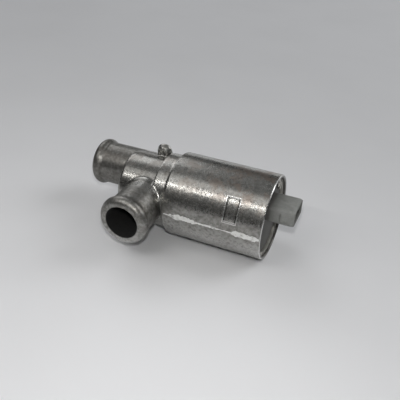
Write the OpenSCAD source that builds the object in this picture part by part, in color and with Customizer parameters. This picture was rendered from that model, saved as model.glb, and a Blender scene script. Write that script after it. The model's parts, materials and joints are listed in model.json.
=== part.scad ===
// Rotary idle air control valve: a die-cast body with two hose spigots, the rotary slide that
// throttles the air, and the small permanent-magnet actuator that turns it.
// X is the main axis and points to the plug. The side spigot points along -Y, and +Z is up.
// The origin is the middle of the round seat that the mounting clamp grips.

/* [Can] */
// Outer diameter of the can, which is the clamp seat
can_d = 50; // [49:0.5:54]
// Length of the can along the main axis
can_len = 59.2; // [59:0.2:66]
// Wall of the can
can_wall = 1.7; // [1.5:0.1:2]
// Rounding of the can's edge at the collar
can_edge_r = 1.3; // [0.5:0.1:1.6]
// Chamfer of the can's open rim
rim_chamfer = 0.4; // [0.2:0.1:0.6]
// Thickness of the can's floor
can_floor = 3.6; // [3.2:0.1:4.5]

/* [Collar and valve chamber] */
// Step from the can's surface down to the collar between can and chamber
collar_step = 2.6; // [2:0.1:3]
// Length of the collar
collar_len = 8.7; // [8:0.1:10]
// Rounding of the collar's edge
collar_edge_r = 1; // [0.4:0.1:1.5]
// Step from the collar's surface down to the valve chamber
chamber_step = 3.35; // [2.8:0.05:4]
// Length of the valve chamber outside
chamber_len = 23.7; // [23.4:0.1:28]
// Rounding of the chamber's closed end
chamber_edge_r = 2.4; // [1:0.1:3]
// Wall of the valve chamber around the bore that the rotary slide turns in
chamber_wall = 4.05; // [3.6:0.05:4.5]
// Thickness of the chamber's closed end
chamber_floor = 3.5; // [3:0.1:4]

/* [Spigots] */
// Bore of both hose spigots
spigot_bore = 19.3; // [18.6:0.1:20]
// Bore of the ports that lead from the spigots on into the valve chamber
port_bore = 18.4; // [17:0.1:18.5]
// Outer diameter of both spigots behind the bead
spigot_d = 26.4; // [25:0.1:27]
// Diameter over the hose bead
bead_d = 29.3; // [28.5:0.1:30.5]
// Diameter of the spigot's mouth in front of the bead
lip_d = 21.6; // [21.2:0.1:24]
// Length of the bead behind its rounded nose
bead_back = 0.75; // [0.6:0.05:1.5]
// Distance of the side spigot's axis from the can's edge
side_back = 14.7; // [14.5:0.1:17]
// Distance of the side spigot's mouth from the main axis
side_reach = 44; // [40:0.5:52]
// Offset of the in-line spigot's axis from the main axis
line_offset = 13.8; // [13:0.1:14.4]
// Length of the in-line spigot past the chamber
line_len = 30.2; // [24:0.2:38]

/* [Cast details] */
// Length of the sunken panel along the main axis
panel_len = 7.4; // [5:0.1:10]
// Angle of the panel's lower edge above the side spigot's direction
panel_low = 12; // [5:1:20]
// Angle that the sunken panel covers around the can
panel_span = 33; // [20:1:40]
// Depth of the sunken panel
panel_depth = 0.5; // [0.3:0.1:0.7]
// Distance of the panel's near edge from the middle of the clamp seat
panel_x = 7.3; // [4:0.1:12]
// Diameter of the face of the round boss on the chamber's shoulder
boss_d = 7.2; // [6.4:0.1:8]
// Diameter of that boss at its root
boss_root_d = 9.7; // [9:0.1:10.4]
// Length of that boss
boss_len = 2.6; // [2.2:0.1:4]
// Diameter of the dimple in the boss
dimple_d = 2.4; // [1.6:0.1:3]

/* [Actuator] */
// Diameter of the rotor shaft
shaft_d = 6; // [5.6:0.1:6.4]
// Diameter of the shaft's rear journal
journal_d = 5; // [4.6:0.1:5.4]
// Outer diameter of the front ball bearing
front_bearing_d = 15; // [14:0.5:16]
// Width of the front ball bearing
front_bearing_w = 5; // [4.5:0.1:5.5]
// Outer diameter of the rear ball bearing
rear_bearing_d = 13; // [12:0.5:14]
// Width of the rear ball bearing
rear_bearing_w = 4; // [3.6:0.1:4.4]
// Number of balls in each bearing
ball_count = 7; // [6:1:7]
// Width of the core's web, which carries the winding
core_web = 8; // [7:0.2:9]
// Depth of the winding's end turns
end_turns = 4; // [3:0.1:4.4]
// Thickness of each magnet
magnet_t = 4.1; // [3.6:0.1:4.2]
// Length that each magnet stands past the armature's core at both ends
magnet_over = 2; // [0.5:0.1:3]
// Angle that each magnet covers
magnet_span = 130; // [110:1:134]
// Wall of the flux ring around the magnets
flux_wall = 1.85; // [1.6:0.05:1.9]
// Air gap between armature and magnets
air_gap = 0.6; // [0.5:0.05:0.8]
// Diameter of the commutator
commutator_d = 12.4; // [12:0.1:13]
// Length of the commutator's segments
commutator_len = 6.5; // [6:0.1:7]
// Size of each brush along the shaft
brush_w = 4; // [3.6:0.1:4.4]
// Size of each brush across the shaft
brush_h = 5; // [4.4:0.1:5.4]

/* [Rotary slide] */
// Wall of the slide's shell
slide_wall = 2.2; // [1.8:0.1:2.6]
// Angle that the slide's shell covers
slide_span = 105; // [100:1:110]
// Angle of the shell's upper edge above the side spigot when the actuator is unpowered
slide_rest = 30; // [28:1:32]
// Turn from rest to the closed stop
turn_closed = 12; // [11:1:14]
// Turn from rest to the open stop
turn_open = 60; // [50:1:62]
// Diameter of the slide's hub
hub_d = 10.4; // [9.6:0.1:11.2]
// Diameter of the two stop pins
stop_pin_d = 2.5; // [2.2:0.1:2.8]

/* [End cap and plug hood] */
// Depth of the cap's face below the can's rim
cap_depth = 2.8; // [2.6:0.1:4]
// Thickness of the cap's disc
cap_t = 3; // [2.9:0.1:3.4]
// Width of the plug hood
hood_w = 18; // [17:0.1:19]
// Height of the plug hood
hood_h = 10.6; // [10:0.1:11.4]
// Height of the hood's middle above the main axis
hood_rise = 7; // [6.6:0.1:7.4]
// Length of the hood past the can's rim
hood_out = 13.6; // [12:0.1:16]
// Wall of the hood
hood_wall = 1.4; // [1.2:0.1:1.6]
// Rounding of the hood's corners outside
hood_corner_r = 2.6; // [1.6:0.1:3]
// Rounding of the hood's corners inside
hood_inner_r = 0.7; // [0.4:0.05:0.7]
// Rounding of the hood's edge around the mouth
hood_edge_r = 0.9; // [0.4:0.1:1]
// Height of the locking lugs on the hood's sides
lug_h = 0.9; // [0.6:0.1:1.1]
// Distance between the two terminals
terminal_pitch = 5; // [4.6:0.1:5.4]
// Thickness of the terminals
terminal_t = 0.8; // [0.6:0.1:0.9]
// Width of the terminals in the plug hood
terminal_w = 2.8; // [2.4:0.1:3]
// Thickness of the circlip that holds the cap
circlip_t = 1.2; // [1:0.05:1.4]
// Radial width of that circlip
circlip_w = 3.1; // [2.6:0.1:3.4]

/* [Clearances] */
// Gap between the turning slide and the chamber's bore
slide_gap = 0.3; // [0.25:0.05:0.4]
// Radial running gap of the seal, brushes and bearing balls
running_gap = 0.05; // [0.03:0.01:0.08]
// Gap around pieces that slip into the can
slip_gap = 0.05; // [0:0.01:0.1]
// Gap between the slide and a stop pin at the end of its turn
stop_gap = 0.3; // [0.2:0.05:0.5]

/* [Hidden] */
$fn = 96;
// Overshoot of cutting shapes past the faces that they cut
over = 1;

// Radii of the housing
can_r = can_d / 2;
can_bore_r = can_r - can_wall;
collar_r = can_r - collar_step;
chamber_r = collar_r - chamber_step;
chamber_bore_r = chamber_r - chamber_wall;
plate_seat_r = chamber_bore_r + 3;
// Spigot's mouth and the bead whose nose rounds it off
lip_r = lip_d / 2;
bead_r = bead_d / 2;
nose_r = bead_r - lip_r;
bead_len = nose_r + bead_back;
// Rounding of the in-line spigot's inner end, where it dies out on the collar
foot_edge_r = 2.5;
// Stations along the main axis, from the plug end to the in-line spigot
x_rim = can_len / 2;
x_step = -can_len / 2;
x_seam = x_step - collar_len;
x_chamber = x_seam - chamber_len;
x_line_end = x_chamber - line_len;
x_floor = x_step + can_floor;
x_side = x_step - side_back;
// Bearing plate, from its flange on the can's floor to its face in the chamber
plate_flange_t = 1;
plate_depth = 7;
seal_depth = 2;
x_plate_top = x_floor + plate_flange_t;
x_plate_face = x_floor - plate_depth;
x_front_bearing = x_plate_top - front_bearing_w;
x_chamber_floor = x_chamber + chamber_floor;
plate_flange_r = can_bore_r - 0.4;
screw_r = 1.25;
screw_head_r = 2.1;
screw_head_t = 1.3;
plate_screw_len = 6;
plate_screw_ring = (plate_seat_r + collar_r) / 2;
plate_screw_angles = [90, 210, 330];
// End cap
x_cap = x_rim - cap_depth;
x_cap_in = x_cap - cap_t;
cap_r = can_bore_r - slip_gap;
x_hood_end = x_rim + hood_out;
x_hood_floor = x_cap + 1.8;
cap_hub_r = rear_bearing_d / 2 + 1.5;
x_rear_bearing = x_cap_in - rear_bearing_w - 0.4;
x_rear_seat = x_rear_bearing + rear_bearing_w;
seal_ring_r = 0.85;
seal_groove_w = 1.9;
x_cap_seal = x_cap - cap_t / 2;
circlip_groove_r = can_bore_r + 0.8;
lug_angle = 50;
lug_hole_r = 1.05;
lug_ring = circlip_groove_r - circlip_w - 1.3;
lug_half_angle = 9.5;
// Rotor, from the slide's end of the shaft to the rear journal
shaft_r = shaft_d / 2;
journal_r = journal_d / 2;
x_shaft_end = x_chamber_floor + slide_gap;
ring_t = 0.7;
x_ring = x_shaft_end + 0.7;
x_hub_end = x_ring + ring_t;
x_slide_face = x_plate_face - slide_gap - 0.2;
slide_r = chamber_bore_r - slide_gap;
slide_in_r = slide_r - slide_wall;
x_slide_end = x_shaft_end + 0.4;
slide_web = 2.2;
slide_low = slide_rest - slide_span;
stop_ring = (hub_d / 2 + slide_in_r) / 2 + 1;
stop_half_angle = asin((stop_pin_d / 2 + stop_gap) / stop_ring);
closed_stop_angle = slide_rest + turn_closed + stop_half_angle;
open_stop_angle = slide_low - turn_open - stop_half_angle;
stop_pin_reach = slide_gap + 0.2 + slide_web + 0.3;
stop_pin_press = plate_depth + plate_flange_t - front_bearing_w - 0.2;
spring_hub_len = 5.8;
spring_hub_r = shaft_r + 2;
x_core = x_plate_top + spring_hub_len + end_turns + 0.2;
commutator_gap = 1.4;
rear_gap = 2.5;
x_core_end = x_rear_bearing - rear_gap - commutator_len - commutator_gap - end_turns;
core_len = x_core_end - x_core;
x_winding = x_core - end_turns;
x_winding_end = x_core_end + end_turns;
x_commutator = x_winding_end + commutator_gap;
x_commutator_end = x_commutator + commutator_len;
x_commutator_hub = x_winding_end + 0.4;
commutator_r = commutator_d / 2;
commutator_core_r = commutator_r - 1;
segment_gap_angle = 20;
// Armature
flux_out_r = can_bore_r - slip_gap;
flux_in_r = flux_out_r - flux_wall;
magnet_in_r = flux_in_r - magnet_t;
armature_r = magnet_in_r - air_gap;
// Angle that centres the armature's and the commutator's travel between the magnets
rotor_phase = (turn_open - turn_closed) / 2;
shoe_t = armature_r * 0.174;
shoe_half_angle = 52;
winding_half_h = armature_r * 0.43;
winding_corner_r = 3.5;
winding_half_w = sqrt(pow(armature_r - shoe_t - 0.2, 2) - pow(winding_half_h, 2));
sleeve_r = shaft_r + 0.4;
// Magnets and flux ring
x_flux = x_plate_top + screw_head_t + 0.3;
x_magnet = x_core - magnet_over;
magnet_len = core_len + 2 * magnet_over;
clip_t = 0.5;
clip_leg_in_r = magnet_in_r + 0.6;
// Brush gear
brush_plate_t = 1.8;
x_brush = x_commutator + (commutator_len - brush_w) / 2;
x_brush_plate = x_brush + brush_w + 1.4;
brush_plate_r = flux_in_r - 0.6;
x_flux_end = x_brush_plate - 2;
brush_tip_r = commutator_r + running_gap;
brush_spring_len = 4;
guide_wall = 0.8;
guide_inset = 3.95;
guide_gap = 0.1;
guide_front = commutator_r + 1.8;
guide_end = brush_plate_r - guide_inset;
brush_back = guide_end - guide_wall - brush_spring_len;
strip_t = 0.8;
post_r = 2.6;
post_ring = brush_plate_r - post_r;
post_angles = [90, 210, 330];
x_post = x_brush_plate + brush_plate_t;
post_screw_len = 5;
// Terminals: the blade in the hood, the jog inside the cap and the tail to the brush plate
blade_reach = 9.8;
x_jog = x_cap_in + 1.1;
tail_w = 1.8;
tail_rise = 6;
tail_z = hood_rise + tail_rise;

// Turns children so that their Z axis lies along the main axis.
module along_x() {
    rotate([0, 90, 0]) children();
}

// A round bar on the main axis from x0 to x1.
module rod(x0, x1, r) {
    translate([x0, 0, 0]) along_x() cylinder(h = x1 - x0, r = r);
}

// A ring on the main axis from x0 to x1.
module ring(x0, x1, r_out, r_in) {
    difference() {
        rod(x0, x1, r_out);
        rod(x0 - over, x1 + over, r_in);
    }
}

// A bar whose end at x0 has an edge rounded by edge_r.
module rounded_rod(x0, x1, r, edge_r) {
    along_x() rotate_extrude() {
        translate([0, x0 + edge_r]) square([r, x1 - x0 - edge_r]);
        translate([0, x0]) square([r - edge_r, x1 - x0]);
        intersection() {
            translate([r - edge_r, x0 + edge_r]) circle(edge_r);
            translate([0, x0]) square([r + over, x1 - x0]);
        }
    }
}

// Places children at an angle around the main axis: 0 is the side spigot's direction, 90 is up.
module at_angle(angle, ring_r) {
    translate([0, -ring_r * cos(angle), ring_r * sin(angle)]) children();
}

// A flat wedge in the plane across the main axis, from angle a0 to a1 counted from the side spigot up.
module wedge(a0, a1, reach) {
    steps = 4;
    polygon(concat([[0, 0]],
        [for (i = [0 : steps]) let (a = a0 + (a1 - a0) * i / steps) [-reach * cos(a), reach * sin(a)]]));
}

// Extrudes a shape drawn across the main axis, with Y to the right and Z up, from x0 to x1.
module across(x0, x1) {
    translate([x0, 0, 0]) rotate([90, 0, 90]) linear_extrude(height = x1 - x0) children();
}

// A part of a ring, from angle a0 to a1.
module ring_sector(x0, x1, r_out, r_in, a0, a1) {
    across(x0, x1) intersection() {
        difference() {
            circle(r_out);
            circle(r_in);
        }
        wedge(a0, a1, r_out * 2);
    }
}

// The outside of a hose spigot along Z, with its mouth at height len and its foot at height foot.
module spigot_outside(foot, len) {
    bead_top = bead_len - 0.4;
    rotate_extrude() {
        translate([0, foot + foot_edge_r]) square([spigot_d / 2, len - foot - bead_len - foot_edge_r]);
        translate([0, foot]) square([spigot_d / 2 - foot_edge_r, foot_edge_r]);
        intersection() {
            translate([spigot_d / 2 - foot_edge_r, foot + foot_edge_r]) circle(foot_edge_r);
            translate([0, foot]) square([spigot_d, foot_edge_r]);
        }
        translate([0, len - bead_len]) square([lip_r, bead_len]);
        translate([lip_r, len - nose_r]) circle(nose_r);
        polygon([[0, len - bead_len], [spigot_d / 2, len - bead_len], [bead_r, len - bead_top],
            [bead_r, len - nose_r], [0, len - nose_r]]);
    }
}

// The bore of a hose spigot along Z: a port from foot to step, then the spigot's own bore with a
// broken edge at its mouth.
module spigot_bore_cut(foot, step, len) {
    edge = 0.3;
    translate([0, 0, foot]) cylinder(h = len - foot, r = port_bore / 2);
    translate([0, 0, step]) cylinder(h = len - step + over, r = spigot_bore / 2);
    translate([0, 0, len - edge]) cylinder(h = edge + over, r1 = spigot_bore / 2,
        r2 = spigot_bore / 2 + edge + over);
}

module side_spigot_frame() {
    translate([x_side, 0, 0]) rotate([90, 0, 0]) children();
}

module line_spigot_frame() {
    translate([0, line_offset, 0]) rotate([0, -90, 0]) children();
}

// The small tapered boss that stands on the chamber's shoulder and faces the side spigot's way.
module shoulder_boss() {
    boss_r = boss_d / 2;
    root_r = boss_root_d / 2;
    edge = 0.4;
    step_gap = 0.5;
    boss_x = x_seam - step_gap - root_r;
    boss_y = 5.4;
    boss_z = chamber_r + 1.55;
    translate([boss_x, boss_y, boss_z]) rotate([-90, 0, 0]) difference() {
        rotate_extrude() polygon([[0, 0], [boss_r - edge, 0], [boss_r, edge], [root_r, boss_len],
            [root_r, boss_len + 1], [0, boss_len + 1]]);
        translate([0, 0, -over]) cylinder(h = over + 0.7, r = dimple_d / 2);
    }
}

module housing_outside() {
    difference() {
        rounded_rod(x_step, x_rim, can_r, can_edge_r);
        // outer chamfer of the rim
        translate([x_rim - rim_chamfer, 0, 0]) difference() {
            rod(0, rim_chamfer + over, can_r + over);
            along_x() cylinder(h = rim_chamfer + over, r1 = can_r, r2 = can_r - rim_chamfer - over);
        }
    }
    rounded_rod(x_seam, x_step + can_edge_r + 0.1, collar_r, collar_edge_r);
    rounded_rod(x_chamber, x_seam + collar_edge_r + 0.1, chamber_r, chamber_edge_r);
    side_spigot_frame() spigot_outside(0, side_reach);
    line_spigot_frame() spigot_outside(-x_seam - foot_edge_r + 0.6, -x_line_end);
    shoulder_boss();
}

module circlip_groove() {
    ring(x_cap, x_cap + circlip_t + slip_gap, circlip_groove_r + slip_gap, can_bore_r - over);
}

module valve_housing() {
    color("darkgray") difference() {
        housing_outside();
        rod(x_floor, x_rim + over, can_bore_r);
        rod(x_plate_face, x_floor + over, plate_seat_r);
        rod(x_chamber_floor, x_plate_face + over, chamber_bore_r);
        side_spigot_frame() spigot_bore_cut(chamber_bore_r * 0.6, chamber_r + 1, side_reach);
        line_spigot_frame() spigot_bore_cut(-x_seam + 2.6, -x_chamber + 2, -x_line_end);
        circlip_groove();
        // inner chamfer of the rim
        translate([x_rim - rim_chamfer, 0, 0]) along_x()
            cylinder(h = rim_chamfer + over, r1 = can_bore_r, r2 = can_bore_r + rim_chamfer + over);
        ring_sector(panel_x, panel_x + panel_len, can_r + over, can_r - panel_depth,
            panel_low, panel_low + panel_span);
        for (a = plate_screw_angles)
            at_angle(a, plate_screw_ring)
                rod(x_floor - plate_screw_len, x_floor + over, screw_r);
    }
}

// A stop pin at its angle, pressed into the bearing plate.
module stop_pin(angle) {
    at_angle(angle, stop_ring)
        rod(x_plate_face - stop_pin_reach, x_plate_face + stop_pin_press, stop_pin_d / 2);
}

module bearing_plate() {
    color("slategray") difference() {
        union() {
            rod(x_plate_face, x_floor, plate_seat_r);
            rod(x_floor, x_plate_top, plate_flange_r);
        }
        rod(x_front_bearing, x_plate_top + over, front_bearing_d / 2);
        rod(x_plate_face - over, x_plate_top, shaft_r + 0.3);
        rod(x_plate_face - over, x_plate_face + seal_depth, shaft_r + 2);
        for (a = plate_screw_angles)
            at_angle(a, plate_screw_ring) rod(x_floor - over, x_plate_top + over, screw_r);
        stop_pin(closed_stop_angle);
        stop_pin(open_stop_angle);
    }
}

// A round-headed screw with its head's seat at x and its point towards the direction dir along X.
module small_screw(x, len, dir) {
    slot_w = 0.6;
    mirror([dir > 0 ? 0 : 1, 0, 0]) translate([dir * x, 0, 0]) {
        rod(0, len, screw_r);
        difference() {
            rod(-screw_head_t, 0, screw_head_r);
            translate([-screw_head_t - over, -screw_head_r * 2, -slot_w / 2])
                cube([over + 0.5, screw_head_r * 4, slot_w]);
        }
    }
}

module bearing_plate_screws() {
    color("dimgray") for (a = plate_screw_angles)
        at_angle(a, plate_screw_ring) small_screw(x_plate_top, plate_flange_t + plate_screw_len, -1);
}

module shaft_seal() {
    color("black") ring(x_plate_face, x_plate_face + seal_depth, shaft_r + 2, shaft_r + running_gap);
}

// Ball bearings are drawn from their bore, outer radius, width and place.
function ball_ring(bore_r, out_r) = (bore_r + out_r) / 2;
function ball_r(bore_r, out_r) = (out_r - bore_r) * 0.26;

module ball_track(x, bore_r, out_r, w) {
    translate([x + w / 2, 0, 0]) along_x() rotate_extrude()
        translate([ball_ring(bore_r, out_r), 0]) circle(ball_r(bore_r, out_r) + running_gap, $fn = 48);
}

module bearing_outer_ring(x, bore_r, out_r, w) {
    difference() {
        ring(x, x + w, out_r, out_r - (out_r - bore_r) * 0.3);
        ball_track(x, bore_r, out_r, w);
    }
}

module bearing_inner_ring(x, bore_r, out_r, w) {
    difference() {
        ring(x, x + w, bore_r + (out_r - bore_r) * 0.3, bore_r);
        ball_track(x, bore_r, out_r, w);
    }
}

module bearing_balls(x, bore_r, out_r, w) {
    for (i = [0 : ball_count - 1])
        translate([x + w / 2, 0, 0]) rotate([360 / ball_count * i, 0, 0])
            translate([0, ball_ring(bore_r, out_r), 0]) sphere(r = ball_r(bore_r, out_r), $fn = 32);
}

module front_bearing_outer_ring() {
    color("gainsboro") bearing_outer_ring(x_front_bearing, shaft_r, front_bearing_d / 2, front_bearing_w);
}

module front_bearing_balls() {
    color("white") bearing_balls(x_front_bearing, shaft_r, front_bearing_d / 2, front_bearing_w);
}

module front_bearing_inner_ring() {
    color("gainsboro") bearing_inner_ring(x_front_bearing, shaft_r, front_bearing_d / 2, front_bearing_w);
}

module rear_bearing_outer_ring() {
    color("gainsboro") bearing_outer_ring(x_rear_bearing, journal_r, rear_bearing_d / 2, rear_bearing_w);
}

module rear_bearing_balls() {
    color("white") bearing_balls(x_rear_bearing, journal_r, rear_bearing_d / 2, rear_bearing_w);
}

module rear_bearing_inner_ring() {
    color("gainsboro") bearing_inner_ring(x_rear_bearing, journal_r, rear_bearing_d / 2, rear_bearing_w);
}

module retaining_ring_groove() {
    ring(x_ring, x_hub_end, shaft_r + over, shaft_r - 0.5);
}

module rotor_shaft() {
    color("silver") difference() {
        union() {
            rod(x_shaft_end, x_rear_bearing, shaft_r);
            rod(x_rear_bearing - over, x_rear_seat + 0.2, journal_r);
        }
        retaining_ring_groove();
    }
}

// The slide: a hub on the shaft, two fans and the shell that covers the side spigot's window.
module rotary_slide() {
    color("tan") difference() {
        union() {
            difference() {
                ring_sector(x_slide_end, x_slide_face, slide_r, hub_d / 2 - 0.5, slide_low, slide_rest);
                rod(x_hub_end + slide_web, x_slide_face - slide_web, slide_in_r);
                rod(x_slide_end - over, x_hub_end, slide_in_r);
            }
            rod(x_hub_end, x_slide_face, hub_d / 2);
        }
        rod(x_hub_end - over, x_slide_face + over, shaft_r);
    }
}

module slide_retaining_ring() {
    color("dimgray") difference() {
        ring(x_ring, x_hub_end, shaft_r + 1.4, shaft_r - 0.5);
        across(x_ring - over, x_hub_end + over) wedge(160, 200, shaft_d * 2);
    }
}

module closed_stop_pin() {
    color("dimgray") stop_pin(closed_stop_angle);
}

module open_stop_pin() {
    color("dimgray") stop_pin(open_stop_angle);
}

module spring_hub() {
    color("goldenrod") ring(x_plate_top, x_plate_top + spring_hub_len, spring_hub_r, shaft_r);
}

// Points of a wire's section around the point p, in the plane of the unit vectors a and b.
function wire_ring(p, a, b, r, sides) =
    [for (k = [0 : sides - 1]) p + r * (cos(360 * k / sides) * a + sin(360 * k / sides) * b)];

function unit(v) = v / norm(v);

// A wire of radius r along the points of path, which coils around the direction axis.
module wire(path, axis, r, sides) {
    last = len(path) - 1;
    points = [for (i = [0 : last])
        let (t = unit(path[min(i + 1, last)] - path[max(i - 1, 0)]),
            side = unit(cross(t, axis)),
            up = cross(side, t))
        each wire_ring(path[i], side, up, r, sides)];
    polyhedron(points = points, convexity = 6, faces = concat(
        [[for (k = [0 : sides - 1]) k]],
        [[for (k = [0 : sides - 1]) last * sides + sides - 1 - k]],
        [for (i = [0 : last - 1], k = [0 : sides - 1])
            let (a = i * sides, b = a + sides, next = (k + 1) % sides)
            [a + k, b + k, b + next, a + next]]));
}

// Torsion spring: one tang out to the bearing plate, the coils, and one tang in to the hub.
module return_spring() {
    wire_r = 0.4;
    coil_r = spring_hub_r + 1.3;
    turns = 3.5;
    first = x_plate_top + wire_r + 0.1;
    rise = (spring_hub_len - 2 * wire_r - 0.6) / turns;
    steps = 14;
    coil = [for (i = [0 : steps * turns]) let (a = 360 * i / steps)
        [first + rise * i / steps, coil_r * cos(a), coil_r * sin(a)]];
    end = coil[len(coil) - 1];
    color("gray") wire(concat([[first, coil_r + 4, 0]], coil,
        [[end[0], end[1] * 0.83, end[2] * 0.83]]), [1, 0, 0], wire_r, 8);
}

// Turns its children to where the rotor stands at rest.
module on_rotor() {
    rotate([-rotor_phase, 0, 0]) children();
}

// Laminated core: two pole shoes joined by the web, on the shaft.
module armature_core() {
    color("lightslategray") on_rotor() difference() {
        across(x_core, x_core_end) {
            translate([-core_web / 2, -armature_r + shoe_t / 2])
                square([core_web, 2 * armature_r - shoe_t]);
            for (side = [0, 180]) rotate(side) intersection() {
                difference() {
                    circle(armature_r);
                    circle(armature_r - shoe_t);
                }
                rotate(90) wedge(180 - shoe_half_angle, 180 + shoe_half_angle, 2 * armature_r);
            }
        }
        rod(x_core - over, x_core_end + over, shaft_r);
    }
}

// A rectangle with round corners between two corner points.
module rounded_rectangle(low, high, r) {
    translate([low[0] + r, low[1]]) square([high[0] - low[0] - 2 * r, high[1] - low[1]]);
    translate([low[0], low[1] + r]) square([high[0] - low[0], high[1] - low[1] - 2 * r]);
    for (x = [low[0] + r, high[0] - r], y = [low[1] + r, high[1] - r])
        translate([x, y]) circle(r, $fn = 48);
}

module armature_winding() {
    color("sienna") on_rotor() difference() {
        translate([0, 0, -winding_half_h]) linear_extrude(height = 2 * winding_half_h) difference() {
            rounded_rectangle([x_winding, -winding_half_w], [x_winding_end, winding_half_w],
                winding_corner_r);
            translate([x_core, -core_web / 2]) square([core_len, core_web]);
        }
        rod(x_winding - over, x_winding_end + over, sleeve_r);
    }
}

module commutator_hub() {
    color("saddlebrown") {
        ring(x_commutator_hub, x_commutator, commutator_r, shaft_r);
        ring(x_commutator, x_commutator_end, commutator_core_r, shaft_r);
    }
}

module commutator_segment(middle) {
    half = 90 - segment_gap_angle / 2;
    ring_sector(x_commutator, x_commutator_end, commutator_r, commutator_core_r,
        middle - half, middle + half);
}

module left_commutator_segment() {
    color("peru") commutator_segment(rotor_phase);
}

module right_commutator_segment() {
    color("peru") commutator_segment(rotor_phase + 180);
}

module flux_ring() {
    color("gray") ring(x_flux, x_flux_end, flux_out_r, flux_in_r);
}

module magnet(middle) {
    ring_sector(x_magnet, x_magnet + magnet_len, flux_in_r, magnet_in_r,
        middle - magnet_span / 2, middle + magnet_span / 2);
}

module left_magnet() {
    color("darkslategray") magnet(0);
}

module right_magnet() {
    color("darkslategray") magnet(180);
}

// Two sheet-steel clips that press the magnets apart, one above and one below.
module magnet_clips() {
    half = 90 - magnet_span / 2;
    leg_angle = clip_t / flux_in_r * 180 / PI;
    end = x_magnet + magnet_len;
    color("lightsteelblue") for (middle = [90, 270]) {
        ring_sector(x_magnet, end, flux_in_r, flux_in_r - clip_t, middle - half, middle + half);
        for (leg = [middle - half, middle + half - leg_angle])
            ring_sector(x_magnet, end, flux_in_r - clip_t, clip_leg_in_r, leg, leg + leg_angle);
    }
}

// Runs its children once for each side: -1 is the side spigot's side.
module on_side(side) {
    mirror([0, side < 0 ? 0 : 1, 0]) children();
}

// A brush on the side spigot's side, grown by a gap to cut its guide.
module brush_block(gap, back) {
    translate([x_brush - gap, -back, -brush_h / 2 - gap])
        cube([brush_w + 2 * gap, back, brush_h + 2 * gap]);
}

module brush_guide() {
    h = brush_h + 2 * (guide_gap + guide_wall);
    difference() {
        translate([x_brush - guide_gap - guide_wall, -guide_end, -h / 2])
            cube([x_brush_plate - x_brush + guide_gap + guide_wall, guide_end - guide_front, h]);
        brush_block(guide_gap, brush_back + brush_spring_len);
    }
}

module post_places() {
    for (a = post_angles) at_angle(a, post_ring) children();
}

module brush_plate() {
    color("darkolivegreen") {
        difference() {
            ring(x_brush_plate, x_brush_plate + brush_plate_t, brush_plate_r, commutator_r + 1.4);
            post_places() rod(x_brush_plate - over, x_post + over, screw_r);
            for (side = [-1, 1]) on_side(side) terminal_body();
        }
        for (side = [-1, 1]) on_side(side) brush_guide();
    }
}

module brush_plate_screws() {
    color("dimgray") post_places() small_screw(x_brush_plate, brush_plate_t + post_screw_len, 1);
}

module brush() {
    difference() {
        brush_block(0, brush_back);
        rod(x_brush - over, x_brush + brush_w + over, brush_tip_r);
    }
}

module left_brush() {
    color("dimgray") on_side(-1) brush();
}

module right_brush() {
    color("dimgray") on_side(1) brush();
}

module brush_spring() {
    wire_r = 0.25;
    coil_r = min(brush_w, brush_h) / 2 - wire_r - 0.1;
    turns = 4;
    steps = 10;
    start = brush_back + wire_r;
    travel = brush_spring_len - 2 * wire_r;
    wire([for (i = [0 : steps * turns]) let (a = 360 * i / steps)
        [x_brush + brush_w / 2 + coil_r * cos(a), -start - travel * i / steps / turns, coil_r * sin(a)]],
        [0, 1, 0], wire_r, 6);
}

module left_brush_spring() {
    color("gray") on_side(-1) brush_spring();
}

module right_brush_spring() {
    color("gray") on_side(1) brush_spring();
}

// A copper strip on the brush plate, from a terminal's tail to the brush guide.
module contact_strip() {
    guide_half_h = brush_h / 2 + guide_gap + guide_wall;
    middle = norm([terminal_pitch / 2, tail_z]);
    r_in = middle - tail_w / 2;
    r_out = middle + tail_w / 2;
    color("chocolate") ring_sector(x_brush_plate - strip_t, x_brush_plate, r_out, r_in,
        asin(guide_half_h / r_in), 90 - asin((terminal_pitch - terminal_t) / 2 / r_out));
}

module left_contact_strip() {
    on_side(-1) contact_strip();
}

module right_contact_strip() {
    on_side(1) contact_strip();
}

// A terminal on the side spigot's side: blade, jog and tail in one bent strip.
module terminal_body() {
    y = -terminal_pitch / 2 - terminal_t / 2;
    translate([x_jog, y, hood_rise - terminal_w / 2])
        cube([x_hood_floor - x_jog + blade_reach, terminal_t, terminal_w]);
    translate([x_jog, y, hood_rise - terminal_w / 2])
        cube([terminal_t, terminal_t, tail_z + tail_w / 2 - hood_rise + terminal_w / 2]);
    translate([x_brush_plate, y, tail_z - tail_w / 2])
        cube([x_jog + terminal_t - x_brush_plate, terminal_t, tail_w]);
}

module left_terminal() {
    color("gainsboro") on_side(-1) terminal_body();
}

module right_terminal() {
    color("gainsboro") on_side(1) terminal_body();
}

// The outline of the plug hood across the main axis, drawn inwards by a wall.
module hood_outline(wall, corner_r) {
    translate([0, hood_rise]) rounded_rectangle([-hood_w / 2 + wall, -hood_h / 2 + wall],
        [hood_w / 2 - wall, hood_h / 2 - wall], corner_r);
}

// A slab along the main axis that is width wide and whose end at the hood's mouth is rounded.
module rounded_mouth(width) {
    rounded_rectangle([x_cap - over - 2 * hood_edge_r, -width / 2], [x_hood_end, width / 2], hood_edge_r);
}

// The hood's outside: its outline across the main axis, with the edge around the mouth rounded.
module hood_block() {
    intersection() {
        across(x_cap - over, x_hood_end) hood_outline(0, hood_corner_r);
        linear_extrude(height = hood_rise + hood_h) rounded_mouth(hood_w);
        translate([0, hood_w, hood_rise]) rotate([90, 0, 0]) linear_extrude(height = 2 * hood_w)
            rounded_mouth(hood_h);
    }
}

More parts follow.
